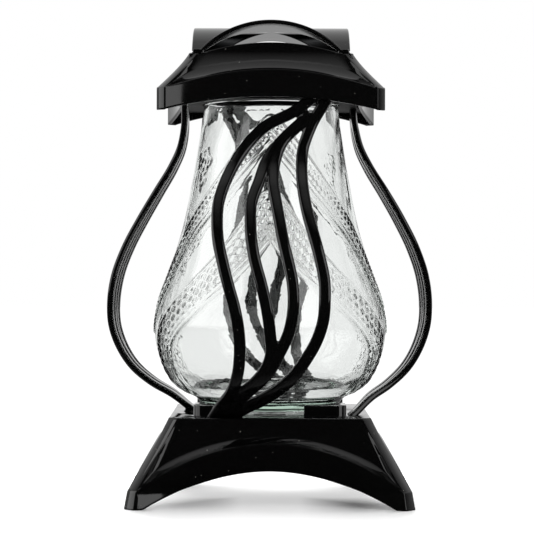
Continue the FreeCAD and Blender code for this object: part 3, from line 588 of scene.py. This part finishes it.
vault_side = shaped_grid("vault_side", len(vault_columns) - 1, VAULT_ROWS, place_vault)
vault = all_round(vault_side, "vent_vault")
tidy_mesh(vault)
if vault.data.polygons[0].normal.z < 0:
    vault.data.flip_normals()
modify(vault, "SOLIDIFY", thickness=CAP_WALL / 1000, offset=-1)
round_edges(vault, RIM_ROUND, steps=3, angle=60)
cut_level(vault, CAP_LOW, below=True)
cap_feet = []
for corner in CORNERS:
    foot = corner_block("foot", corner, FOOT_IN, FOOT_OUT, LAND_HIGH, FOOT_TOP)
    round_edges(foot, FOOT_ROUND, EDGE_STEPS, EDGE_ANGLE)
    x, y = (side * PEG_PLACE for side in corner)
    cap_feet += [foot, add_rod("peg", PEG_RADIUS, PEG_LOW, PEG_TOP, points=32, x=x, y=y)]
vault = join([vault] + cap_feet, "vent_vault")
smooth(vault, EDGE_ANGLE)
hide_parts("vent_cap")
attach(vault, "lid")
vault.data.materials.append(gloss_black)

# Jar: clear, faintly green soda-lime glass, pressed in a mould and open at the top, with a thick
# floor. Two knurled bands rise to a peak at its front and back between ridges, a smooth oval
# window lies under them, and a small rose stands on each flank.
JAR_FOOT, JAR_HEIGHT, JAR_BELLY, JAR_WALL, JAR_FLOOR = BASE_TOP, 211.7, 79.8, 4.0, 11.5
LIP_RISE, LIP_ROUND, OUTER_ROWS, INNER_STEP, JAR_COLUMNS = 4.2, 0.8, 188, 6, 400
# The wall outside, as shares of (height, belly's radius), and the underside, as (radius, rise).
JAR_SHARES = ((0.020, 0.583), (0.040, 0.624), (0.066, 0.729), (0.097, 0.843), (0.143, 0.924),
              (0.188, 0.971), (0.247, 1.000), (0.330, 0.982), (0.446, 0.888), (0.580, 0.776),
              (0.746, 0.683), (0.980, 0.583))
FOOT_RING = ((0.0, 3.2), (20, 3.1), (39.5, 3.0), (41.0, 2.0), (41.6, 0.5), (42.6, 0), (45.6, 0),
             (46.4, 0.9), (46.5, 2.4))


def smooth_line(points, steps):
    """Points evenly along a smooth line through the given ones."""
    points = np.array(points, float)
    reach = np.concatenate([[0], np.cumsum(np.linalg.norm(np.diff(points, axis=0), axis=1))])
    slope = np.gradient(points, reach, axis=0)
    fine = np.linspace(0, reach[-1], 2000)
    at = np.clip(np.searchsorted(reach, fine, side="right") - 1, 0, len(reach) - 2)
    span = (reach[at + 1] - reach[at])[:, None]
    u = ((fine - reach[at]) / span[:, 0])[:, None]
    line = ((2 * u ** 3 - 3 * u ** 2 + 1) * points[at] + (u ** 3 - 2 * u ** 2 + u) * span * slope[at]
            + (3 * u ** 2 - 2 * u ** 3) * points[at + 1] + (u ** 3 - u ** 2) * span * slope[at + 1])
    along = np.concatenate([[0], np.cumsum(np.linalg.norm(np.diff(line, axis=0), axis=1))])
    even = np.linspace(0, along[-1], steps + 1)
    return np.stack([np.interp(even, along, line[:, i]) for i in range(line.shape[1])], 1)


# The profile runs from the middle of the underside up the outer wall, over the lip, down the
# plain inner wall, which needs fewer rows, and in a wide round to the middle of the floor.
outer = smooth_line([(r * JAR_BELLY, JAR_FOOT + h * JAR_HEIGHT) for h, r in JAR_SHARES], OUTER_ROWS)
facing = np.gradient(outer, axis=0)
facing = np.stack([facing[:, 1], -facing[:, 0]], 1) / np.linalg.norm(facing, axis=1)[:, None]
inner = (outer - facing * JAR_WALL)[::INNER_STEP]
inner = inner[inner[:, 1] > JAR_FOOT + JAR_FLOOR + JAR_WALL]
inner[-1, 1] = outer[-1, 1]
lip_corner = ((0, 1.5), (0, LIP_ROUND), (LIP_ROUND * 0.3, LIP_ROUND * 0.3), (LIP_ROUND, 0))
lip = [(outer[-1, 0] - across, outer[-1, 1] + LIP_RISE - down) for across, down in lip_corner]
lip += [(outer[-1, 0] + inner[-1, 0] - r, z) for r, z in lip[::-1]]
floor_half, floor_level = inner[0, 0], JAR_FOOT + JAR_FLOOR
floor_edge = smooth_line([inner[0], (floor_half * 0.93, floor_level + 1.6),
                          (floor_half * 0.78, floor_level)], steps=5)[1:]
foot_ring = [(r, JAR_FOOT + up) for r, up in FOOT_RING]
flat_floor = [(floor_half * share, floor_level) for share in (0.55, 0.3, 0.0)]
profile = np.vstack([foot_ring, outer, lip, inner[::-1], floor_edge, flat_floor])
outer_first, outer_last = len(foot_ring), len(foot_ring) + len(outer) - 1

# The middle of each beaded band on the front, as (degrees from the front, height).
UPPER_BAND = ((0, 252.0), (19, 232.0), (37.5, 210.0), (65, 177.0), (80, 140.0), (90, 120.0))
LOWER_BAND = ((0, 197.0), (19, 168.0), (31.5, 151.5), (45.6, 135.0), (58, 120.5), (66, 108.0),
              (70, 92.0), (72, 70.0))
UPPER_HALF, LOWER_HALF, UPPER_PITCH, LOWER_PITCH = 5.2, 8.3, 5.0, 6.4
BEAD_RISE, BEAD_MARGIN, ROW_SPACING, DEGREE_LENGTH = 1.2, 1.0, 0.87, 1.25
RIDGE_RISE, RIDGE_WIDE, OUTER_RIDGE = 1.2, 0.95, 3.2
# The wall stands back behind the relief, so that the beads keep near the plain jar's outline. A
# few rows at the foot and the neck stay plain, and the relief comes in over the next ones.
JAR_INSET, FOOT_PLAIN, FOOT_FADE, NECK_PLAIN, NECK_FADE = 0.4, 8, 6, 2, 7


def band_relief(angle, height, radius, path, half, pitch):
    """Beads in staggered rows along a band on the jar's wall, with ridges beside it.

    Along the band the beads are counted with one length for a degree, so that each stays whole
    where the jar widens.
    """
    path = smooth_line(path, steps=36)
    folded = np.abs(angle)
    per_degree = radius * pi / 180
    nearest, across, along = np.full(len(angle), 1e9), np.zeros(len(angle)), np.zeros(len(angle))
    run = 0.0
    for (a0, z0), (a1, z1) in zip(path, path[1:]):
        dx, dz = (a1 - a0) * per_degree, z1 - z0
        px, pz = (folded - a0) * per_degree, height - z0
        size = np.hypot(dx, dz)
        share = np.clip((px * dx + pz * dz) / size ** 2, 0, 1)
        gap = np.hypot(px - share * dx, pz - share * dz)
        side = np.sign(pz * dx - px * dz)
        closer = gap < nearest
        nearest = np.where(closer, gap, nearest)
        across = np.where(closer, gap * side, across)
        along = np.where(closer, run + share * size, along)
        run = run + hypot((a1 - a0) * DEGREE_LENGTH, dz)
    beaded = half - BEAD_MARGIN
    rows = max(round(2 * half / pitch / ROW_SPACING), 2)
    row_pitch = 2 * beaded / rows
    row = np.floor((across + beaded) / row_pitch)
    bead_x = (along / pitch + 0.5 * (row % 2)) % 1 - 0.5
    bead_y = ((across + beaded) / row_pitch) % 1 - 0.5
    dome = np.clip(1 - (bead_x ** 2 + bead_y ** 2) / 0.25, 0, 1) ** 0.8
    relief = BEAD_RISE * dome * (np.abs(across) < beaded)
    for at in (-half, half, -half - OUTER_RIDGE):
        relief = np.maximum(relief, RIDGE_RISE * np.exp(-((across - at) / RIDGE_WIDE) ** 2))
    return relief


# The rose: its rings as (radius, lobes), the stalk's and the leaf's places from its middle.
ROSE_ANGLE, ROSE_HEIGHT, ROSE_RISE, RING_WIDE = -60, 228, 0.9, 0.85
ROSE_RINGS = ((8.6, 5), (5.6, 4), (2.8, 3))
STALK_X, STALK_Z, STALK_SLANT, STALK_WIDE, STALK_LOW, STALK_TOP = -1.5, -12, 0.25, 0.9, -21, -8
LEAF_X, LEAF_Z, LEAF_SLANT, LEAF_LONG, LEAF_WIDE = 3.0, -14, 0.5, 4.2, 2.4


def rose_relief(angle, height, radius):
    """A rose of three lobed rings with a stalk and a leaf, on one flank."""
    across, up = (angle - ROSE_ANGLE) * pi / 180 * radius, height - ROSE_HEIGHT
    reach, bearing = np.hypot(across, up), np.arctan2(up, across)
    relief = np.zeros_like(reach)
    for ring, (size, lobes) in enumerate(ROSE_RINGS):
        edge = size * (0.88 + 0.12 * np.cos(lobes * bearing + ring * 1.3))
        relief = np.maximum(relief, np.exp(-((reach - edge) / RING_WIDE) ** 2))
    beside_stalk = across - STALK_X + (up - STALK_Z) * STALK_SLANT
    stalk = np.exp(-(beside_stalk / STALK_WIDE) ** 2) * ((up < STALK_TOP) & (up > STALK_LOW))
    along_leaf = across - LEAF_X
    beside_leaf = up - LEAF_Z - along_leaf * LEAF_SLANT
    leaf = np.clip(1 - (along_leaf / LEAF_LONG) ** 2 - (beside_leaf / LEAF_WIDE) ** 2, 0, 1)
    return ROSE_RISE * np.maximum(np.maximum(relief, stalk), leaf)


def place_jar(column, row):
    """The profile turned about the axis, with the relief alike on the front and the back half."""
    angle = column / JAR_COLUMNS * 360 - 180
    radius, height = profile[row, 0].copy(), profile[row, 1].copy()
    half_turn = (angle + 270) % 180 - 90
    relief = np.maximum(
        band_relief(half_turn, height, radius, UPPER_BAND, UPPER_HALF, UPPER_PITCH),
        band_relief(half_turn, height, radius, LOWER_BAND, LOWER_HALF, LOWER_PITCH))
    relief = np.maximum(relief, rose_relief(half_turn, height, radius))
    fade = (np.clip((row - outer_first - FOOT_PLAIN) / FOOT_FADE, 0, 1)
            * np.clip((outer_last - NECK_PLAIN - row) / NECK_FADE, 0, 1))
    wall = facing[np.clip(row - outer_first, 0, len(outer) - 1)]
    radius = radius + (relief - JAR_INSET) * fade * wall[:, 0]
    height = height + relief * fade * wall[:, 1]
    bearing = radians(1) * angle
    return radius * np.sin(bearing), -radius * np.cos(bearing), height


jar = shaped_grid("pressed_jar", JAR_COLUMNS, len(profile) - 1, place_jar)
tidy_mesh(jar, gap=0.01)
select_only(jar)
bpy.ops.object.shade_smooth()
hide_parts("glass_jar")
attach(jar, "stand")

# Soda-lime glass, pressed: the plunger leaves slow ripples and the cold mould a fine chill mark,
# so what stands behind it breaks up, and long ways through it, as in the floor, turn green.
RIPPLE_SIZE, CHILL_SIZE = 23.81, 5.882
material, tree = new_material("pressed_glass")
place = add_node(tree, "ShaderNodeTexCoord").outputs["Object"]
ripples = add_node(tree, "ShaderNodeTexNoise", {
    "Vector": place, "Scale": 1000 / RIPPLE_SIZE, "Detail": 1})
chill = add_node(tree, "ShaderNodeTexNoise", {
    "Vector": place, "Scale": 1000 / CHILL_SIZE, "Detail": 2})
ripple_bump = add_node(tree, "ShaderNodeBump", {
    "Strength": 0.45, "Distance": 0.0014, "Height": ripples.outputs["Fac"]})
bump = add_node(tree, "ShaderNodeBump", {
    "Strength": 0.15, "Distance": 0.00035, "Height": chill.outputs["Fac"],
    "Normal": ripple_bump.outputs[0]})
shader = add_node(tree, "ShaderNodeBsdfPrincipled", {
    "Base Color": linear("#ffffff"), "Roughness": 0.0, "IOR": 1.5, "Transmission Weight": 1.0,
    "Normal": bump.outputs[0]})
body = add_node(tree, "ShaderNodeVolumeAbsorption", {"Color": linear("#98ccae"), "Density": 10.0})
add_node(tree, "ShaderNodeOutputMaterial", {"Surface": shader.outputs[0], "Volume": body.outputs[0]})
jar.data.materials.append(material)

# Grilles: four alike, one at each side, moulded in the same glossy black ABS. Four bars sweep up
# from lower left to upper right over a bulged sheet and run together at both ends, where tabs
# enter base and frame.
GRILLE_FOOT, GRILLE_TOP, GRILLE_OUT, GRILLE_HALF = BASE_TOP, 268.0, 107.6, 38.5
BAR_WIDTH, BAR_THICK, BAR_SQUARENESS, BAR_POINTS, BAR_ROWS = 7.7, 4.6, 3.4, 56, 360
FOOT_TAB_LENGTH, TOP_TAB_LENGTH, TAB_ROOT, VOXEL = 2.5, 3.5, 1, 0.65
# The sheet, as shares of (height, way out), and the bars on it, as shares of (height, half width).
BULGE_SHARES = (
    (-0.020, -0.100), (0.000, 0.000), (0.052, 0.234), (0.092, 0.483), (0.150, 0.738), (0.221, 0.907),
    (0.286, 0.986), (0.351, 1.000), (0.442, 0.950), (0.533, 0.820), (0.623, 0.634), (0.714, 0.420),
    (0.798, 0.215), (0.857, 0.105), (0.921, 0.050), (1.000, 0.035))
BAR_SHARES = (
    ((-0.03, -1.07), (0.03, -0.86), (0.081, -0.66), (0.140, -0.548), (0.203, -0.506),
     (0.273, -0.517), (0.344, -0.584), (0.419, -0.699), (0.494, -0.803), (0.550, -0.870),
     (0.607, -0.894), (0.663, -0.88), (0.735, -0.766), (0.805, -0.579), (0.863, -0.364),
     (0.912, -0.096), (0.960, 0.40), (1.02, 0.83)),
    ((-0.03, -0.93), (0.034, -0.74), (0.081, -0.46), (0.117, -0.25), (0.155, -0.09), (0.203, 0.01),
     (0.273, -0.003), (0.344, -0.055), (0.419, -0.148), (0.494, -0.260), (0.550, -0.314),
     (0.607, -0.335), (0.663, -0.327), (0.735, -0.197), (0.805, -0.06), (0.863, 0.17),
     (0.910, 0.43), (0.95, 0.68)),
    ((-0.03, -0.89), (0.034, -0.70), (0.081, -0.42), (0.117, -0.20), (0.155, -0.01), (0.203, 0.13),
     (0.273, 0.306), (0.344, 0.379), (0.419, 0.371), (0.494, 0.288), (0.550, 0.213), (0.607, 0.156),
     (0.663, 0.101), (0.735, 0.044), (0.805, 0.08), (0.863, 0.20), (0.910, 0.44), (0.95, 0.70)),
    ((-0.03, -0.75), (0.012, -0.58), (0.034, -0.400), (0.057, -0.151), (0.092, 0.127),
     (0.135, 0.377), (0.192, 0.597), (0.253, 0.777), (0.314, 0.878), (0.369, 0.901), (0.429, 0.896),
     (0.494, 0.829), (0.569, 0.722), (0.636, 0.623), (0.739, 0.535), (0.789, 0.527), (0.835, 0.548),
     (0.908, 0.678), (1.02, 1.03)))
rise = GRILLE_TOP - GRILLE_FOOT
sheet = smooth_line([(GRILLE_FOOT + up * rise, GRILLE_IN + out * (GRILLE_OUT - GRILLE_IN))
                     for up, out in BULGE_SHARES], steps=400)
sheet = np.vstack([sheet, [GRILLE_TOP + 0.05 * rise, sheet[-1, 1]]])
sheet_lean = np.gradient(sheet[:, 1], sheet[:, 0])
turns = np.linspace(0, 2 * pi, BAR_POINTS, endpoint=False)
power = 2 / BAR_SQUARENESS
section = np.stack([np.sign(np.cos(turns)) * BAR_WIDTH / 2 * np.abs(np.cos(turns)) ** power,
                    np.sign(np.sin(turns)) * BAR_THICK / 2 * np.abs(np.sin(turns)) ** power], 1)


def swept_bar(shares):
    """One bar: its section swept along a line on the bulged sheet, and closed at both ends."""
    line = smooth_line([(across * GRILLE_HALF, GRILLE_FOOT + up * rise) for up, across in shares],
                       BAR_ROWS)
    run = np.gradient(line, axis=0)
    run /= np.linalg.norm(run, axis=1)[:, None]

    def place_bar(column, row):
        at = np.clip(row - 1, 0, BAR_ROWS)
        across, through = section[column % BAR_POINTS].T * np.where(at == row - 1, 1, 0)
        x = line[at, 0] + across * run[at, 1]
        z = line[at, 1] - across * run[at, 0]
        out, lean = np.interp(z, *sheet.T), np.interp(z, sheet[:, 0], sheet_lean)
        size = np.sqrt(1 + lean ** 2)
        return x, -(out + through / size), z - through * lean / size

    bar = shaped_grid("bar", BAR_POINTS, BAR_ROWS + 2, place_bar)
    tidy_mesh(bar)
    return bar


# The bars become one skin by remeshing, whose stairs are smoothed and drawn back onto the bars;
# the last smoothing leaves small fillets where they meet.
skin = join([swept_bar(shares) for shares in BAR_SHARES], "bars")
grille = turned_copy(skin, 0)
modify(grille, "REMESH", mode="VOXEL", voxel_size=VOXEL / 1000)
modify(grille, "SMOOTH", factor=0.5, iterations=8)
modify(grille, "SHRINKWRAP", target=skin, wrap_method="NEAREST_SURFACEPOINT")
modify(grille, "SMOOTH", factor=0.5, iterations=4)
bpy.data.objects.remove(skin, do_unlink=True)
cut_level(grille, GRILLE_FOOT, below=True)
cut_level(grille, GRILLE_TOP, below=False)
top_out = np.interp(GRILLE_TOP, *sheet.T)
foot_tab = add_block("foot_tab", (-TAB_FAR, -GRILLE_IN - TAB_HALF, GRILLE_FOOT - FOOT_TAB_LENGTH),
                     (-TAB_NEAR, -GRILLE_IN + TAB_HALF, GRILLE_FOOT + TAB_ROOT))
top_tab = add_block("top_tab", (TAB_NEAR, -top_out - TAB_HALF, GRILLE_TOP - TAB_ROOT),
                    (TAB_FAR, -top_out + TAB_HALF, GRILLE_TOP + TOP_TAB_LENGTH))
grille = join([grille, foot_tab, top_tab], "s_grille_front")
grille.data.materials.append(gloss_black)
smooth(grille, 70)
grilles = [grille] + [turned_copy(grille, quarters) for quarters in (1, 2, 3)]
for grille, side in zip(grilles, ("front", "right", "back", "left")):
    grille.name = grille.data.name = f"s_grille_{side}"
    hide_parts(f"grille_{side}")
    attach(grille, "stand")


# Top frame: a flat moulded plate that lies on the jar's lip, under the roof, and takes the
# grilles' tabs. Its black ABS is grained in the tool, which gives the eye a dull black without a
# mirror image. The real grain, a tenth of a millimetre, is drawn ten times as coarse to show.
def finish_node(name, material):
    """Give a node that keeps its own mesh its material."""
    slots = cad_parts[name].data.materials
    slots.clear()
    slots.append(material)


GRAIN_SIZE = 1.111
material, tree = new_material("matt_black_abs")
place = add_node(tree, "ShaderNodeTexCoord").outputs["Object"]
grain = add_node(tree, "ShaderNodeTexNoise", {"Vector": place, "Scale": 1000 / GRAIN_SIZE, "Detail": 3})
bump = add_node(tree, "ShaderNodeBump", {
    "Strength": 0.2, "Distance": 0.0001, "Height": grain.outputs["Fac"]})
shader = add_node(tree, "ShaderNodeBsdfPrincipled", {
    "Base Color": linear("#101011"), "Roughness": 0.6, "IOR": 1.5, "Specular IOR Level": 0.2,
    "Normal": bump.outputs[0]})
add_node(tree, "ShaderNodeOutputMaterial", {"Surface": shader.outputs[0]})
finish_node("top_frame", material)

# Heat shield: rolled aluminium sheet, pierced in a ring, held under the vent. Its brushed lines
# run along X and draw each light out across them, and heat has stained its middle faintly brown.
# The lines are drawn about ten times as wide as real ones, which wouldn't show.
LINE_LONG, LINE_WIDE, SHIELD_LEVEL = 16.667, 0.5556, 295
material, tree = new_material("rolled_aluminium")
place = add_node(tree, "ShaderNodeTexCoord").outputs["Object"]
drawn = add_node(tree, "ShaderNodeMapping", {"Vector": place, "Scale": (1, LINE_LONG / LINE_WIDE, 1)})
lines = add_node(tree, "ShaderNodeTexNoise", {
    "Vector": drawn.outputs[0], "Scale": 1000 / LINE_LONG, "Detail": 4})
bump = add_node(tree, "ShaderNodeBump", {
    "Strength": 0.15, "Distance": 0.0001, "Height": lines.outputs["Fac"]})
rough = add_node(tree, "ShaderNodeMapRange", {
    "Value": lines.outputs["Fac"], "From Min": 0.3, "From Max": 0.7, "To Min": 0.24, "To Max": 0.40})
middle = add_node(tree, "ShaderNodeVectorMath", {
    0: place, 1: (0, 0, SHIELD_LEVEL / 1000)}, operation="DISTANCE")
stain = add_node(tree, "ShaderNodeMapRange", {
    "Value": middle.outputs["Value"], "From Min": 0.005, "From Max": 0.030, "To Min": 0.5,
    "To Max": 0.0})
colour = add_node(tree, "ShaderNodeMix", {
    "Factor": stain.outputs[0], "A": linear("#c9cbcd"), "B": linear("#a38f72")}, data_type="RGBA")
shader = add_node(tree, "ShaderNodeBsdfPrincipled", {
    "Base Color": colour.outputs[2], "Metallic": 1.0, "Roughness": rough.outputs[0],
    "Normal": bump.outputs[0]})
add_node(tree, "ShaderNodeOutputMaterial", {"Surface": shader.outputs[0]})
finish_node("heat_shield", material)

# Push nuts: four washers stamped from spring steel and pressed onto the cap's pegs, where they
# hold cap and shield to the roof. The oil on them leaves the grey metal shining unevenly, in
# patches a few millimetres across.
OIL_PATCH = 3.333
material, tree = new_material("spring_steel")
place = add_node(tree, "ShaderNodeTexCoord").outputs["Object"]
oil = add_node(tree, "ShaderNodeTexNoise", {"Vector": place, "Scale": 1000 / OIL_PATCH, "Detail": 3})
rough = add_node(tree, "ShaderNodeMapRange", {
    "Value": oil.outputs["Fac"], "From Min": 0.3, "From Max": 0.7, "To Min": 0.22, "To Max": 0.38})
shader = add_node(tree, "ShaderNodeBsdfPrincipled", {
    "Base Color": linear("#8b8d90"), "Metallic": 1.0, "Roughness": rough.outputs[0]})
add_node(tree, "ShaderNodeOutputMaterial", {"Surface": shader.outputs[0]})
finish_node("push_nuts", material)
